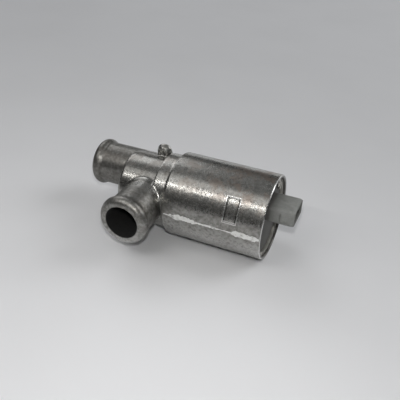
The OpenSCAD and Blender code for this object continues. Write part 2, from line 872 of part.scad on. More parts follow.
// A ramp on the hood's side that the plug's wire clip snaps behind.
module locking_lug() {
    lug_len = 5;
    lug_w = 4.8;
    x0 = x_hood_end - 3 - lug_len;
    translate([0, 0, hood_rise - lug_w / 2]) linear_extrude(height = lug_w)
        polygon([[x0, -hood_w / 2 + 0.2], [x0, -hood_w / 2 - lug_h], [x0 + 1.4, -hood_w / 2 - lug_h],
            [x0 + lug_len, -hood_w / 2 - 0.15], [x0 + lug_len, -hood_w / 2 + 0.2]]);
}

// One grey moulding: the disc, the plug hood, the rear bearing's hub and the posts.
module end_cap() {
    color("lightslategray") difference() {
        union() {
            rod(x_cap_in, x_cap, cap_r);
            hood_block();
            for (side = [-1, 1]) on_side(side) locking_lug();
            rod(x_rear_bearing, x_cap_in + over, cap_hub_r);
            post_places() rod(x_post, x_cap_in + over, post_r);
        }
        across(x_hood_floor, x_hood_end + over) hood_outline(hood_wall, hood_inner_r);
        rod(x_rear_bearing - over, x_rear_seat, rear_bearing_d / 2);
        rod(x_rear_seat - over, x_rear_seat + 0.7, journal_r + 1);
        ring(x_cap_seal - seal_groove_w / 2, x_cap_seal + seal_groove_w / 2, cap_r + over,
            can_bore_r - 2 * seal_ring_r);
        post_places() rod(x_post - over, x_post + post_screw_len, screw_r);
        for (side = [-1, 1]) on_side(side) terminal_body();
    }
}

module cap_seal() {
    color("black") translate([x_cap_seal, 0, 0]) along_x() rotate_extrude()
        translate([can_bore_r - seal_ring_r, 0]) circle(seal_ring_r, $fn = 48);
}

// Inner circlip in the can's groove, with two eyes for the pliers beside its gap.
module cap_circlip() {
    out_r = circlip_groove_r;
    in_r = out_r - circlip_w;
    x1 = x_cap + circlip_t;
    lug_r = lug_hole_r + 1.3;
    gap_half_angle = lug_half_angle * 0.35;
    color("silver") difference() {
        union() {
            ring(x_cap, x1, out_r, in_r);
            for (side = [-1, 1])
                at_angle(180 - lug_angle + side * lug_half_angle, lug_ring) rod(x_cap, x1, lug_r);
        }
        across(x_cap - over, x1 + over)
            wedge(180 - lug_angle - gap_half_angle, 180 - lug_angle + gap_half_angle, can_d);
        for (side = [-1, 1])
            at_angle(180 - lug_angle + side * lug_half_angle, lug_ring)
                rod(x_cap - over, x1 + over, lug_hole_r);
    }
}

valve_housing();
bearing_plate();
bearing_plate_screws();
shaft_seal();
front_bearing_outer_ring();
front_bearing_balls();
front_bearing_inner_ring();
rotor_shaft();
rotary_slide();
slide_retaining_ring();
closed_stop_pin();
open_stop_pin();
spring_hub();
return_spring();
armature_core();
armature_winding();
commutator_hub();
left_commutator_segment();
right_commutator_segment();
flux_ring();
left_magnet();
right_magnet();
magnet_clips();
brush_plate();
brush_plate_screws();
left_brush();
right_brush();
left_brush_spring();
right_brush_spring();
left_contact_strip();
right_contact_strip();
left_terminal();
right_terminal();
rear_bearing_outer_ring();
rear_bearing_balls();
rear_bearing_inner_ring();
end_cap();
cap_seal();
cap_circlip();
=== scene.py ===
"""Looks of a rotary idle air valve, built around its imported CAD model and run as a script."""
import json
import math
import random

import bmesh
import bpy
import numpy as np
from bpy.props import FloatProperty, FloatVectorProperty, IntProperty, PointerProperty
from mathutils import Matrix, Vector

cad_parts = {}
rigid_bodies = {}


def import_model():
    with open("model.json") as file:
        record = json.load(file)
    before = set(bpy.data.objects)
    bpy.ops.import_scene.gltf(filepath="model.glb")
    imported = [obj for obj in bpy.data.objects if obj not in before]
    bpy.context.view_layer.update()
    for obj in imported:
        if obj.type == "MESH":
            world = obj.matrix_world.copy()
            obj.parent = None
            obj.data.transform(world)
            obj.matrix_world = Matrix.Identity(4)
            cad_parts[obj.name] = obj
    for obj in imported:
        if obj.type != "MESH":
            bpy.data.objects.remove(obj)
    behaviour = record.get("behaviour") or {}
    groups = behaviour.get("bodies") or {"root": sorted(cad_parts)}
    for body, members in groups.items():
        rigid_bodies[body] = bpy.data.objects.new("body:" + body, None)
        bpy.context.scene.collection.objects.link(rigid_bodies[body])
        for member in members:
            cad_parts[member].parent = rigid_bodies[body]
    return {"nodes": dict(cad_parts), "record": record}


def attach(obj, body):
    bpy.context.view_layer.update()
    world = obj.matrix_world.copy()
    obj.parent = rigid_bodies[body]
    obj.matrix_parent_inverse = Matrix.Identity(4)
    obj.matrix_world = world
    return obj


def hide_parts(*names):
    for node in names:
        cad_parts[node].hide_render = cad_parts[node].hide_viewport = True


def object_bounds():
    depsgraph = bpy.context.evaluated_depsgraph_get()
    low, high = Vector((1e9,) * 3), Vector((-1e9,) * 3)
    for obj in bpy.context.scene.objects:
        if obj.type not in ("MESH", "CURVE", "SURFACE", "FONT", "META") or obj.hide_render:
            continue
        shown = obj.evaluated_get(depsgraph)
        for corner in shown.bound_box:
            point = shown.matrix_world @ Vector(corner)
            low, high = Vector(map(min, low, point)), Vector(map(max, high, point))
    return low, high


bl_info = {
    "name": "Idle air valve looks",
    "version": (1, 0, 0),
    "blender": (4, 5, 0),
    "location": "3D View > Sidebar > Valve",
    "description": "Dresses the packed idle air valve: casting, plug hood, hardware and stage",
    "category": "Object",
}

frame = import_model()
nodes = frame["nodes"]
cad_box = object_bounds()
MM = 0.001
BODY = "valve_body"
# Stations along the main axis in metres: the can's two ends and the collar's end at the chamber
CAN_END = 0.0296
CAN_STEP = -CAN_END
SEAM = -0.0383
# Radii of can and collar
CAN_R = 0.025
COLLAR_R = 0.0224
# Axes of the spigots, radii of their necks and bores, and the side spigot's reach
SIDE_X = -0.0443
LINE_Y = 0.0138
NECK_R = 0.0132
BORE_R = 0.0098
MOUTH_Y = 0.044
# Where the handled necks of the two spigots start, along each one's own axis
NECK_FROM_X = -0.060
NECK_FROM_Y = -0.023
# Middle and half size of the sunken panel along X and Z, and its depth
PANEL_X = 0.011
PANEL_Z = 0.01144
PANEL_HALF_X = 0.0037
PANEL_HALF_Z = 0.00624
PANEL_DEPTH = 0.0005
# Plug hood: middle and half size along Y and Z, wall, and where its rounded rim starts along X
HOOD_CENTRE = (0.0, 0.007)
HOOD_HALF = (0.009, 0.0053)
HOOD_WALL = 0.0014
HOOD_CUT = 0.034
# How far back from its edge and how far in the rim is drawn
RIM_REACH = 0.0024
RIM_DEPTH = 0.0009
# Bend of the skin, in voxels, above which a corner counts as a root to be rounded
ROOT_BEND = 0.035
# Round the collar's turned step nothing is rounded: its reach along X, its lowest Y, and how far
# from the in-line neck's wall it begins
CRISP_REACH = 0.0016
CRISP_FROM_Y = -0.014
CRISP_CLEAR = 0.0024
# How near to the can's round side, and how near in cosine to its direction, a face gets its normals
ROUND_SLACK = 0.0002
ROUND_COSINE = 0.995
# Parting line on the can's two sides and on the in-line spigot, in millimetres: start, end and
# wide patches of (from, to, factor)
RIDGES = (
    ((-28.0, -24.97, 0), (29.0, -24.97, 0), ((-25, -7, 5.2), (12.5, 29.5, 4.6), (-8, 6, 1.9))),
    ((-28.0, 24.97, 0), (29.0, 24.97, 0), ((-20, 5, 1.8),)),
    ((-39.0, 26.98, 0), (-87.2, 26.98, 0), ()),
)
FIRST_SEED = 11
# How far a wide patch of the flash takes to reach its width
PATCH_TAPER = 0.003
# Height of the flash over its width
FLASH_FLAT = 0.16
# Tints of the casting beside its main colours
DULL_GRAIN = (0.27, 0.268, 0.26)
BRIGHT_MOTTLE = (0.56, 0.555, 0.54)
DARK_MOTTLE = (0.2, 0.197, 0.188)
DRAWN_STREAK = (0.2, 0.198, 0.19)
PIT = (0.1, 0.097, 0.09)
CHAMBER_TINT = (0.16, 0.155, 0.143)
PROUD_TINT = (0.5, 0.5, 0.48)
NECK_TINT = (0.13, 0.124, 0.112)
# pale tint painted on the can's lower side as the floor's reflection
FLOOR_REFLECTION_TINT = (0.62, 0.615, 0.6)
# near-black: painted shade of the deep bores, with sooty deposits
BORE_SHADE_AND_SOOT = (0.012, 0.0115, 0.011)
# pale: worn edges, and painted highlights on the panel and the can's rim
WEAR_AND_HIGHLIGHT = (0.85, 0.845, 0.83)
# Tints of the flash
FLASH_DULL = (0.45, 0.44, 0.42)
FLASH_BRIGHT = (0.88, 0.88, 0.86)
FLASH_GRAIN = (0.4, 0.39, 0.38)
# Room: the floor's edge, the size of its faint clouds, and the world's colour and strength
FLOOR_SIZE = 4.0
FLOOR_CLOUD = 0.09
ROOM_COLOUR = (0.98, 1.0, 0.99, 1.0)
ROOM_LIGHT = 0.038
# Camera: place, the way it looks, its right, its up and its focal length in millimetres
EYE = Vector((83.38, -249.76, 168.83)) * MM
LOOK = Vector((-0.3120, 0.7848, -0.5354))
RIGHT = Vector((0.9173, 0.3955, 0.0452))
UP = Vector((-0.2473, 0.4770, 0.8434))
LENS = 47.92
# What the near lamps and those at the far sides are aimed at
NEAR_AIM = Vector((-10, 0, 0)) * MM
FAR_AIM = Vector((0, 300, -25)) * MM
WARM = (1.0, 0.99, 0.98)
COOL = (0.97, 0.99, 1.0)
COOLER = (0.97, 0.98, 1.0)
# Lamps: name, place, aim, width, depth, watts, colour
LAMPS = (
    ("flash", EYE + UP * 0.028, NEAR_AIM, 0.012, 0.012, 0.3, (1.0, 1.0, 0.99)),
    ("strip", Vector((-0.15, -0.27, 0.3)), NEAR_AIM, 0.3, 0.02, 0.26, WARM),
    ("above_strip", Vector((-0.17, -0.19, 0.435)), NEAR_AIM, 0.5, 0.16, 0.2, WARM),
    ("back", Vector((0, 2.2, 0.22)), Vector((0, 0.3, 0.1)), 3.0, 0.5, 3.5, COOL),
    ("ceiling", Vector((0, 0.6, 1.2)), Vector((0, 0.6, 0)), 2.4, 2.4, 2.5, COOL),
    ("side_right", Vector((1.05, 0.75, 0.95)), FAR_AIM, 0.9, 0.9, 8.0, COOLER),
    ("side_left", Vector((-1.0, 0.8, 1.0)), FAR_AIM, 0.9, 0.9, 4.5, COOLER),
)


# Sizes and colours

class ValveSizes(bpy.types.PropertyGroup):
    """Sizes of what the scene adds to the casting."""
    skin: FloatProperty(name="Skin size", description="Edge length of the casting's rounded skin",
                        default=0.5 * MM, unit="LENGTH")
    hood_skin: FloatProperty(name="Hood skin", description="Edge length of the plug hood's rounded rim",
                             default=0.3 * MM, unit="LENGTH")
    root_passes: IntProperty(name="Root passes", description="Smoothing passes where tubes meet the chamber",
                             default=22)
    flash: FloatProperty(name="Flash", description="Mean radius of the ragged parting line",
                         default=0.34 * MM, unit="LENGTH")
    seam_x: FloatProperty(name="Seam", description="Where the skin ends on the collar",
                          default=-29.9 * MM, unit="LENGTH")


class ValveColours(bpy.types.PropertyGroup):
    """Main colours of the valve and its stage."""
    metal: FloatVectorProperty(name="Cast metal", description="Clean cast aluminium",
                               default=(0.47, 0.463, 0.435), subtype="COLOR")
    stain: FloatVectorProperty(name="Stain", description="Brown heat stain on the casting",
                               default=(0.32, 0.25, 0.208), subtype="COLOR")
    # dark tint for grime, also painted as shade in corners, recesses, the underside and the plug's faces
    # along +X
    dirt_and_shade: FloatVectorProperty(name="Dirt", description="Dirt in the casting's corners",
                              default=(0.055, 0.052, 0.046), subtype="COLOR")
    plastic: FloatVectorProperty(name="Plug plastic", description="Grey plastic of cap and hood",
                                 default=(0.275, 0.28, 0.265), subtype="COLOR")
    floor: FloatVectorProperty(name="Floor", description="Pale floor",
                               default=(0.84, 0.84, 0.85), subtype="COLOR")


# Shader maths

class Value:
    """A shader socket in Python arithmetic: each operation adds a Math node."""

    def __init__(self, net, socket):
        self.net, self.socket = net, socket

    def math(self, operation, first, second=0.0, clamp=False):
        return self.net.add("ShaderNodeMath", {"operation": operation, "use_clamp": clamp},
                            {0: first, 1: second})

    def __add__(self, other):
        return self.math("ADD", self, other)

    __radd__ = __add__

    def __sub__(self, other):
        return self.math("SUBTRACT", self, other)

    def __rsub__(self, other):
        return self.math("SUBTRACT", other, self)

    def __mul__(self, other):
        return self.math("MULTIPLY", self, other)

    def __pow__(self, other):
        return self.math("POWER", self, other)

    def __abs__(self):
        return self.math("ABSOLUTE", self)

    def clamp(self):
        return self.math("ADD", self, 0.0, clamp=True)

    def high(self, other):
        return self.math("MAXIMUM", self, other)

    def step(self, low, high, to_low=0.0, to_high=1.0):
        """A smooth step from to_low below low to to_high above high."""
        return self.net.add("ShaderNodeMapRange", {"interpolation_type": "SMOOTHSTEP"},
                            {"Value": self, "From Min": low, "From Max": high,
                             "To Min": to_low, "To Max": to_high})


class Net:
    """A material's node tree, with one method for every kind of node."""

    def __init__(self, name):
        self.material = bpy.data.materials.new(name)
        self.material.use_nodes = True
        self.tree = self.material.node_tree
        self.shader = self.tree.nodes["Principled BSDF"]

    def add(self, kind, settings=None, inputs=None, out=0):
        node = self.tree.nodes.new(kind)
        for key, value in (settings or {}).items():
            setattr(node, key, value)
        for key, value in (inputs or {}).items():
            self.feed(node.inputs[key], value)
        return Value(self, node.outputs[out])

    def feed(self, socket, value):
        if isinstance(value, Value):
            self.tree.links.new(value.socket, socket)
        elif isinstance(value, tuple) and len(value) == 3 and socket.type == "RGBA":
            socket.default_value = (*value, 1.0)
        else:
            socket.default_value = value

    def place(self, scale=(1.0, 1.0, 1.0)):
        """Object coordinates, stretched by scale."""
        where = self.add("ShaderNodeTexCoord", out="Object")
        return self.add("ShaderNodeMapping", {}, {"Vector": where, "Scale": scale})

    def noise(self, size, detail=3.0, roughness=0.5, stretch=(1.0, 1.0, 1.0), distortion=0.0):
        """Noise with features of about size metres, from 0 to 1 around 0.5."""
        return self.add("ShaderNodeTexNoise", {}, {
            "Vector": self.place(stretch), "Scale": 1.0 / size, "Detail": detail,
            "Roughness": roughness, "Distortion": distortion}, out="Fac")

    def mix(self, factor, first, second, blend="MIX"):
        return self.add("ShaderNodeMix", {"data_type": "RGBA", "blend_type": blend},
                        {0: factor, 6: first, 7: second}, out=2)

    def axis(self, source, letter):
        return self.add("ShaderNodeSeparateXYZ", {}, {0: source}, out=letter)

    def spot(self):
        """The shaded point's X, Y and Z in metres, along the part's own axes."""
        where = self.add("ShaderNodeTexCoord", out="Object")
        return [self.axis(where, letter) for letter in "XYZ"]

    def edges(self, radius):
        """How far the surface bends within radius: 0 on flats, more at edges."""
        round_normal = self.add("ShaderNodeBevel", {"samples": 6}, {"Radius": radius})
        normal = self.add("ShaderNodeNewGeometry", out="Normal")
        return 1.0 - self.add("ShaderNodeVectorMath", {"operation": "DOT_PRODUCT"},
                              {0: round_normal, 1: normal}, out="Value")

    def hollow(self, distance):
        """Ambient occlusion: 1 in the open, less in corners."""
        return self.add("ShaderNodeAmbientOcclusion", {"samples": 6}, {"Distance": distance}, out="AO")

    def finish(self, colour, roughness, metallic, height=None, depth=0.0, edge_radius=0.0, **fixed):
        """Feeds the shader; height in 0 to 1 gives a bump of depth metres."""
        self.feed(self.shader.inputs["Base Color"], colour)
        self.feed(self.shader.inputs["Roughness"], roughness)
        self.feed(self.shader.inputs["Metallic"], metallic)
        for key, value in fixed.items():
            self.feed(self.shader.inputs[key.replace("_", " ")], value)
        normal = None
        if edge_radius:
            normal = self.add("ShaderNodeBevel", {"samples": 4}, {"Radius": edge_radius})
        if height is not None:
            inputs = {"Height": height, "Distance": depth, "Strength": 1.0}
            if normal is not None:
                inputs["Normal"] = normal
            normal = self.add("ShaderNodeBump", {}, inputs)
        if normal is not None:
            self.feed(self.shader.inputs["Normal"], normal)
        return self.material


def inside_bores(net):
    """1 on the walls of both spigots' bores and the chamber, 0 elsewhere."""
    x, y, z = net.spot()
    side = (((x - SIDE_X) ** 2.0 + z ** 2.0) ** 0.5).step(BORE_R, BORE_R + 0.25 * MM, 1.0, 0.0)
    side = side * y.step(-MOUTH_Y - 0.2 * MM, -MOUTH_Y + 0.6 * MM) * y.step(0.0, 2 * MM, 1.0, 0.0)
    line = (((y - LINE_Y) ** 2.0 + z ** 2.0) ** 0.5).step(BORE_R, BORE_R + 0.25 * MM, 1.0, 0.0)
    line = line * x.step(SEAM, SEAM + 2 * MM, 1.0, 0.0)
    return side.high(line)


def panel_marks(x, y, z):
    """Painted shade along the end walls of the sunken panel, and painted highlights on its edges and on its
    lower wall.
    """
    end = abs(x - PANEL_X) - PANEL_HALF_X
    edge = end.high(abs(z - PANEL_Z) - PANEL_HALF_Z)
    front = y.step(-2 * MM, 0.0, 1.0, 0.0)
    # painted shade on the panel's two end walls
    panel_end_shade = end.step(-0.9 * MM, -0.7 * MM) * edge.step(-0.05 * MM, 0.05 * MM, 1.0, 0.0) * front
    # painted highlight on a thin band round the panel's edge
    panel_highlight = edge.step(0.05 * MM, 0.15 * MM) * edge.step(0.4 * MM, 0.55 * MM, 1.0, 0.0) * front
    # painted highlight along the panel's lower wall, which faces up
    above = z - PANEL_Z + PANEL_HALF_Z
    foot = above.step(0.1 * MM, 0.2 * MM) * above.step(0.5 * MM, 0.65 * MM, 1.0, 0.0)
    foot = foot * edge.step(-0.2 * MM, -0.1 * MM, 1.0, 0.0) * front
    return panel_end_shade, panel_highlight.high(foot)


def collar_roots(x, radius):
    """1 in the shadowed roots of the collar's two steps, 0 elsewhere."""
    roots = abs(x - CAN_STEP + 0.3 * MM).step(0.2 * MM, 0.5 * MM, 1.0, 0.0)
    roots = roots * radius.step(CAN_R - 0.7 * MM, CAN_R - 0.3 * MM, 1.0, 0.0)
    shoulder = abs(x - SEAM + 0.3 * MM).step(0.3 * MM, 0.65 * MM, 1.0, 0.0)
    shoulder = shoulder * radius.step(COLLAR_R - 0.8 * MM, COLLAR_R - 0.5 * MM, 1.0, 0.0)
    return roots.high(shoulder)


def spigot_necks(x, y):
    """1 on the necks of both spigots, 0 elsewhere."""
    side = y.step(NECK_FROM_Y - 3 * MM, NECK_FROM_Y, 1.0, 0.0)
    line = x.step(NECK_FROM_X - 3 * MM, NECK_FROM_X, 1.0, 0.0)
    return side.high(line)


def chamber_and_proud(x, radius):
    """How far the chamber is dulled, and 1 where boss and spigots reach out past the collar."""
    behind = SEAM - 0.5 * MM
    proud = radius.step(COLLAR_R - 0.3 * MM, COLLAR_R + 0.1 * MM) * x.step(behind, SEAM, 1.0, 0.0)
    return x.step(behind, SEAM, 0.35, 0.0) * (1.0 - proud), proud


def lower_side_reflection(z, radius):
    """1 on the can's side below its parting line, 0 elsewhere: where the pale floor's reflection is painted.
    """
    band = z.step(-12 * MM, 2 * MM, 1.0, 0.0) * z.step(-18 * MM, -12 * MM)
    return band * radius.step(CAN_R - 1.0 * MM, CAN_R - 0.5 * MM)


def cast_metal(name, colours):
    """Die-cast aluminium, handled and stained by heat, with painted shade in its corners, steps, open end,
    underside and deep bores, painted highlights on the panel and rim, and a painted reflection of the floor
    on the can's lower side.
    """
    net = Net(name)
    clean, stain, dirt_and_shade = (tuple(colour) for colour in (colours.metal, colours.stain, colours.dirt_and_shade))
    up = net.axis(net.add("ShaderNodeNewGeometry", out="Normal"), "Z")
    x, y, z = net.spot()
    radius = (y ** 2.0 + z ** 2.0) ** 0.5
    cloud = net.noise(10 * MM, 6.0, 0.7)
    blotch = net.noise(3.4 * MM, 6.0, 0.7, distortion=0.6)
    mottle = net.noise(1.6 * MM, 5.0, 0.7)
    grain = net.noise(0.8 * MM, 4.0, 0.65)
    streak = net.noise(1.4 * MM, 3.0, 0.55, stretch=(0.35, 1.0, 1.0))
    pits = net.noise(0.5 * MM, 2.0, 0.5)
    # the bare casting and its stain
    metal = net.mix(grain.step(0.35, 0.65, 0.0, 0.6), clean, DULL_GRAIN)
    metal = net.mix(mottle.step(0.5, 0.64, 0.0, 0.55), metal, BRIGHT_MOTTLE)
    metal = net.mix(mottle.step(0.36, 0.48, 0.7, 0.0), metal, DARK_MOTTLE)
    metal = net.mix(streak.step(0.55, 0.72, 0.0, 0.4), metal, DRAWN_STREAK)
    stained = (cloud.step(0.46, 0.62) * up.step(0.3, 0.9, 0.1, 1.0) + blotch.step(0.58, 0.7) * 0.25).clamp()
    metal = net.mix(stained * x.step(-30 * MM, 20 * MM, 0.3, 0.75), metal, stain)
    # painted shade with some grime in corners, pits, painted shade at the sunken panel's end walls, in the
    # can's open end and in the collar's steps
    # painted shade: ambient occlusion darkens corners and creases, broken up by blotches of grime
    corner = net.hollow(2.6 * MM).step(0.42, 0.85, 1.0, 0.0)
    corner = corner.high(net.hollow(0.7 * MM).step(0.4, 0.85, 0.9, 0.0))
    metal = net.mix((corner * blotch.step(0.15, 0.5, 0.7, 1.0)).clamp(), metal, dirt_and_shade)
    metal = net.mix(pits.step(0.6, 0.7, 0.0, 0.7), metal, PIT)
    panel_end_shade, panel_highlight = panel_marks(x, y, z)
    metal = net.mix(panel_end_shade, metal, dirt_and_shade)
    # painted shade on the can's wall in its open end
    open_end_shade = x.step(0.6 * CAN_END, 0.7 * CAN_END) * radius.step(CAN_R - 0.9 * MM, CAN_R - 0.7 * MM, 1.0, 0.0)
    metal = net.mix(open_end_shade * 0.7, metal, dirt_and_shade)
    metal = net.mix(collar_roots(x, radius) * 0.75, metal, dirt_and_shade)
    # chamber and necks are duller, what stands proud is brighter, the can's lower side gets a painted
    # reflection of the floor, and the underside gets painted shade
    dulled, proud = chamber_and_proud(x, radius)
    metal = net.mix(dulled, metal, CHAMBER_TINT)
    metal = net.mix(proud * 0.4, metal, PROUD_TINT)
    neck = spigot_necks(x, y)
    metal = net.mix(neck * mottle.step(0.35, 0.65, 0.75, 0.35), metal, NECK_TINT)
    # painted reflection of the pale floor on the can's lower side
    metal = net.mix(lower_side_reflection(z, radius) * mottle.step(0.3, 0.6, 0.2, 0.7), metal, FLOOR_REFLECTION_TINT)
    # painted shade on surfaces facing down, broken up by blotches
    under = up.step(-0.85, -0.35, 0.6, 0.0) * blotch.step(0.2, 0.6, 0.5, 1.0)
    metal = net.mix(under, metal, dirt_and_shade)
    # near-black painted shade with sooty deposits in the bores; worn edges, and painted highlights on the
    # panel and the can's rim
    bore_shade_and_soot = inside_bores(net)
    metal = net.mix(bore_shade_and_soot, metal, BORE_SHADE_AND_SOOT)
    # painted highlight along the edge of the can's rim
    rim = x.step(CAN_END - 0.35 * MM, CAN_END - 0.2 * MM) * radius.step(CAN_R - 0.6 * MM, CAN_R - 0.4 * MM)
    worn = net.edges(0.5 * MM).step(0.03, 0.2) * mottle.step(0.3, 0.55, 0.35, 1.0) * (1.0 - bore_shade_and_soot)
    metal = net.mix(worn.high(panel_highlight).high(rim) * 0.85, metal, WEAR_AND_HIGHLIGHT)
    rough = 0.2 + grain.step(0.25, 0.75) * 0.1 + stained * 0.08 + corner * 0.3 + neck * 0.15 + bore_shade_and_soot * 0.45
    shine = (0.95 - corner * 0.6 - bore_shade_and_soot * 0.85).clamp()
    height = grain * 0.4 + pits.step(0.6, 0.75, 0.0, -0.6) + blotch * 0.5 + mottle * 0.5 + streak * 0.3
    return net.finish(metal, rough.clamp(), shine, height, 0.021 * MM, 0.2 * MM)


def bare_metal(name):
    """Scraped metal of the flash along the parting line."""
    net = Net(name)
    grain = net.noise(0.4 * MM, 4.0, 0.65)
    patch = net.noise(5 * MM, 4.0, 0.7)
    metal = net.mix(patch.step(0.35, 0.5), FLASH_DULL, FLASH_BRIGHT)
    metal = net.mix(grain.step(0.55, 0.7, 0.0, 0.5), metal, FLASH_GRAIN)
    return net.finish(metal, (0.5 + grain * 0.2).clamp(), 0.45, grain, 0.05 * MM)


def plug_plastic(name, colours):
    """Matt glass-filled plastic with slightly polished edges, and painted shade on its faces along +X, in its
    corners and down in the can's recess.
    """
    net = Net(name)
    grain = net.noise(0.25 * MM, 3.0, 0.6)
    cloud = net.noise(6 * MM, 5.0, 0.6)
    fibre = net.noise(0.6 * MM, 3.0, 0.6, stretch=(0.25, 1.0, 1.0))
    base = tuple(colours.plastic)
    paler = tuple(min(1.0, c * 1.45 + 0.02) for c in base)
    darker = tuple(c * 0.62 for c in base)
    colour = net.mix(cloud.step(0.35, 0.7, 0.0, 0.55), base, darker)
    colour = net.mix(fibre.step(0.5, 0.72, 0.0, 0.35), colour, paler)
    worn = net.edges(0.5 * MM).step(0.05, 0.35) * cloud.step(0.3, 0.6, 0.4, 1.0)
    colour = net.mix(worn * 0.5, colour, paler)
    # painted shade on faces pointing along +X
    mouth = net.axis(net.add("ShaderNodeNewGeometry", out="Normal"), "X").step(0.6, 0.9, 0.0, 0.45)
    colour = net.mix(mouth, colour, tuple(colours.dirt_and_shade))
    # painted shade: ambient occlusion darkens corners and the recess
    corner = net.hollow(2 * MM).step(0.3, 0.8, 0.75, 0.0).high(net.hollow(12 * MM).step(0.35, 0.85, 0.8, 0.0))
    colour = net.mix(corner, colour, tuple(colours.dirt_and_shade))
    # painted shade on what lies down in the can's recess
    sunk = net.spot()[0].step(CAN_END - 1.5 * MM, CAN_END + 0.5 * MM, 0.7, 0.0)
    colour = net.mix(sunk, colour, tuple(colours.dirt_and_shade))
    rough = 0.52 + grain.step(0.3, 0.7) * 0.14 - worn * 0.12
    return net.finish(colour, rough.clamp(), 0.0, grain * 0.6 + fibre * 0.6, 0.025 * MM, 0.2 * MM)


def plain_metal(name, colour, roughness, size, stretch=(1.0, 1.0, 1.0), metallic=1.0, tarnish=0.4):
    """Machined, plated or drawn metal with marks of one size and direction."""
    net = Net(name)
    marks = net.noise(size, 4.0, 0.6, stretch=stretch)
    cloud = net.noise(size * 14, 4.0, 0.6)
    dark = tuple(c * 0.45 for c in colour)
    look = net.mix(cloud.step(0.4, 0.7) * tarnish, colour, dark)
    # painted shade: ambient occlusion darkens corners
    look = net.mix(net.hollow(1.2 * MM).step(0.3, 0.8, 0.6, 0.0), look, tuple(c * 0.2 for c in colour))
    worn = net.edges(0.3 * MM).step(0.05, 0.35)
    look = net.mix(worn * 0.5, look, tuple(min(1.0, c * 1.3 + 0.05) for c in colour))
    rough = roughness + marks.step(0.25, 0.75) * 0.15 + cloud.step(0.4, 0.7) * 0.1
    return net.finish(look, rough.clamp(), metallic, marks, 0.012 * MM, 0.12 * MM)


def dull_solid(name, colour, roughness, size, depth):
    """Rubber, resin, carbon or sintered ceramic."""
    net = Net(name)
    grain = net.noise(size, 4.0, 0.65)
    cloud = net.noise(size * 12, 4.0, 0.6)
    paler = tuple(min(1.0, c * 1.6 + 0.01) for c in colour)
    look = net.mix(cloud.step(0.35, 0.7) * 0.6, colour, paler)
    look = net.mix(net.edges(0.3 * MM).step(0.05, 0.35) * 0.5, look, paler)
    return net.finish(look, (roughness + grain.step(0.3, 0.7) * 0.15).clamp(), 0.0, grain, depth)


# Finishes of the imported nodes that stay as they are: maker and its values
FINISHES = {
    "zinc_steel": (plain_metal, ((0.6, 0.585, 0.54), 0.34, 0.35 * MM)),
    "bearing_steel": (plain_metal, ((0.68, 0.68, 0.69), 0.2, 0.2 * MM)),
    "slide_aluminium": (plain_metal, ((0.5, 0.48, 0.45), 0.32, 0.2 * MM, (3.0, 1.0, 1.0), 0.9, 0.8)),
    "hub_brass": (plain_metal, ((0.72, 0.56, 0.28), 0.28, 0.2 * MM)),
    "spring_steel": (plain_metal, ((0.42, 0.42, 0.44), 0.3, 0.15 * MM)),
    "core_steel": (plain_metal, ((0.3, 0.3, 0.31), 0.42, 0.25 * MM, (2.5, 1.0, 1.0))),
    "copper": (plain_metal, ((0.68, 0.3, 0.14), 0.3, 0.3 * MM, (1.0, 3.0, 1.0))),
    "tinned_brass": (plain_metal, ((0.72, 0.7, 0.62), 0.28, 0.2 * MM)),
    "ferrite": (dull_solid, ((0.045, 0.045, 0.05), 0.6, 0.3 * MM, 0.02 * MM)),
    "carbon": (dull_solid, ((0.03, 0.03, 0.03), 0.5, 0.2 * MM, 0.01 * MM)),
    "moulded_resin": (dull_solid, ((0.11, 0.05, 0.02), 0.4, 0.4 * MM, 0.015 * MM)),
    "black_rubber": (dull_solid, ((0.02, 0.02, 0.02), 0.6, 0.2 * MM, 0.01 * MM)),
}


# Mesh helpers

def alone(obj):
    """Deselects everything and makes obj the only selected and active object."""
    for other in bpy.context.view_layer.objects:
        other.select_set(False)
    obj.select_set(True)
    bpy.context.view_layer.objects.active = obj


def copy_of(node, name):
    """A merged copy of a CAD node's mesh with plain normals, for a piece that replaces it."""
    obj = bpy.data.objects.new(name, nodes[node].data.copy())
    bpy.context.scene.collection.objects.link(obj)
    obj.data.materials.clear()
    alone(obj)
    bpy.ops.object.mode_set(mode="EDIT")
    bpy.ops.mesh.select_all(action="SELECT")
    bpy.ops.mesh.remove_doubles(threshold=0.002 * MM)
    bpy.ops.object.mode_set(mode="OBJECT")
    bpy.ops.mesh.customdata_custom_splitnormals_clear()
    return obj


def cut_at(obj, x, keep_left):
    """Cuts obj across the main axis, removes one side and closes the cut."""
    alone(obj)
    mesh = bmesh.new()
    mesh.from_mesh(obj.data)
    everything = mesh.verts[:] + mesh.edges[:] + mesh.faces[:]
    cut = bmesh.ops.bisect_plane(mesh, geom=everything, dist=1e-8, plane_co=(x, 0, 0), plane_no=(1, 0, 0),
                                 clear_outer=keep_left, clear_inner=not keep_left)
    rim = [e for e in cut["geom_cut"] if isinstance(e, bmesh.types.BMEdge) and e.is_boundary]
    bmesh.ops.triangle_fill(mesh, use_beauty=True, use_dissolve=False, edges=rim,
                            normal=(1 if keep_left else -1, 0, 0))
    open_edges = sum(e.is_boundary for e in mesh.edges)
    mesh.to_mesh(obj.data)
    mesh.free()
    if open_edges:
        raise RuntimeError(f"{obj.name} is open at {open_edges} edges")


def neighbours(mesh):
    """Vertex places, their normals and the pairs that edges join."""
    places = np.zeros(len(mesh.vertices) * 3)
    mesh.vertices.foreach_get("co", places)
    normals = np.zeros(len(mesh.vertices) * 3)
    mesh.vertices.foreach_get("normal", normals)
    pairs = np.zeros(len(mesh.edges) * 2, int)
    mesh.edges.foreach_get("vertices", pairs)
    return places.reshape(-1, 3), normals.reshape(-1, 3), pairs.reshape(-1, 2)


